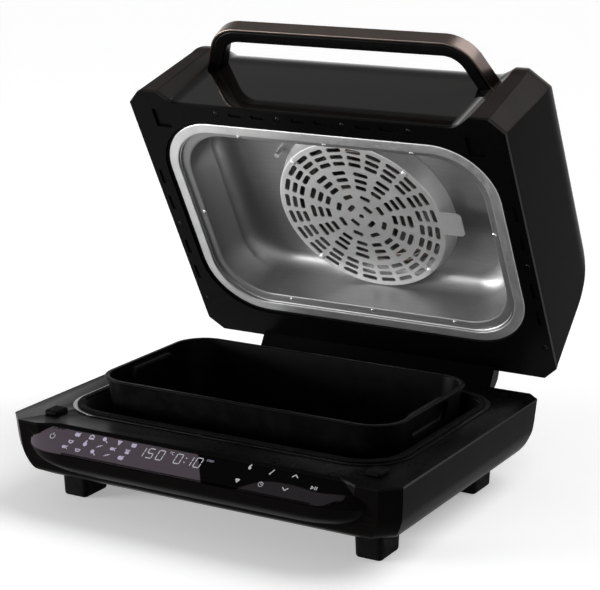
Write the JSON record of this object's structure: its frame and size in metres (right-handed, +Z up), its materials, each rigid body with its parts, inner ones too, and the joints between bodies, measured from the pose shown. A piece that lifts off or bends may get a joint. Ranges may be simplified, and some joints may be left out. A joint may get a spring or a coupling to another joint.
{
  "type": "air fryer oven",
  "caption": "Wide low countertop air fryer oven: sloped touch panel in front, black pot in a deep well, hinged deep lid with an arched handle and a round slotted fan cover.",
  "frame": {"origin": "on the worktop, under the middle of the bounding box with the lid open", "axes": "+Z up, +Y from the front panel towards the hinge, +X to the right seen from the front"},
  "size_m": [0.44, 0.4798, 0.4644],
  "materials": {
    "gloss_dark": "glossy, near black with a warm brown tint",
    "satin_black": "satin, fine grain",
    "panel_glass": "polished dark glass with lit icons",
    "black_rubber": "matte",
    "brushed_steel": "brushed",
    "pot_coating": "smooth non-stick coating, semi-matte",
    "bronze_trim": "satin bronze",
    "heater_steel": "heat darkened",
    "motor_grey": "plain sheet steel",
    "board_green": "circuit board"
  },
  "bodies": {
    "base": {"base_tub": "gloss_dark", "deck_cover": "satin_black", "bottom_cover": "satin_black", "control_panel_glass": "panel_glass", "foot_front_left": "black_rubber", "foot_front_right": "black_rubber", "foot_rear_left": "black_rubber", "foot_rear_right": "black_rubber", "base_screw_1": "brushed_steel", "base_screw_2": "brushed_steel", "base_screw_3": "brushed_steel", "base_screw_4": "brushed_steel", "display_board": "board_green", "power_board": "board_green", "well_liner": "brushed_steel", "well_seal": "black_rubber", "lid_stop_left": "black_rubber", "lid_stop_right": "black_rubber", "hinge_housing": "satin_black", "hinge_pin_left": "brushed_steel", "hinge_pin_right": "brushed_steel", "hinge_spring_left": "brushed_steel", "hinge_spring_right": "brushed_steel", "cord_gland": "satin_black"},
    "pot": {"cooking_pot": "pot_coating"},
    "lid": {"lid_shell": "gloss_dark", "lid_bezel": "satin_black", "lid_gasket": "black_rubber", "steel_ring": "brushed_steel", "lid_liner": "brushed_steel", "fan_cover": "brushed_steel", "fan_cover_screw_1": "brushed_steel", "fan_cover_screw_2": "brushed_steel", "fan_cover_screw_3": "brushed_steel", "fan_cover_screw_4": "brushed_steel", "bezel_screw_1": "brushed_steel", "bezel_screw_2": "brushed_steel", "bezel_screw_3": "brushed_steel", "bezel_screw_4": "brushed_steel", "bezel_screw_5": "brushed_steel", "bezel_screw_6": "brushed_steel", "bezel_screw_7": "brushed_steel", "bezel_screw_8": "brushed_steel", "heating_element": "heater_steel", "temperature_sensor": "brushed_steel", "motor_bracket": "brushed_steel", "fan_motor": "motor_grey", "handle_bar": "satin_black", "handle_trim": "bronze_trim", "hinge_arm": "satin_black"},
    "fan": {"fan_shaft": "brushed_steel", "fan_impeller": "brushed_steel", "cooling_fan": "satin_black"}
  },
  "joints": [
    {"name": "lid_hinge", "type": "hinge", "parent": "base", "child": "lid", "pos_m": [0, 0.14115, 0.05935], "axis": [1, 0, 0], "range_deg": [0, 61]},
    {"name": "pot_lift", "type": "slide", "parent": "base", "child": "pot", "axis": [0, 0, 1], "range_m": [0, 0.2]},
    {"name": "fan_spin", "type": "hinge", "parent": "lid", "child": "fan", "pos_m": [0, 0.16025, 0.27787], "axis": [0, 0.8746, 0.4848], "continuous": true}
  ]
}
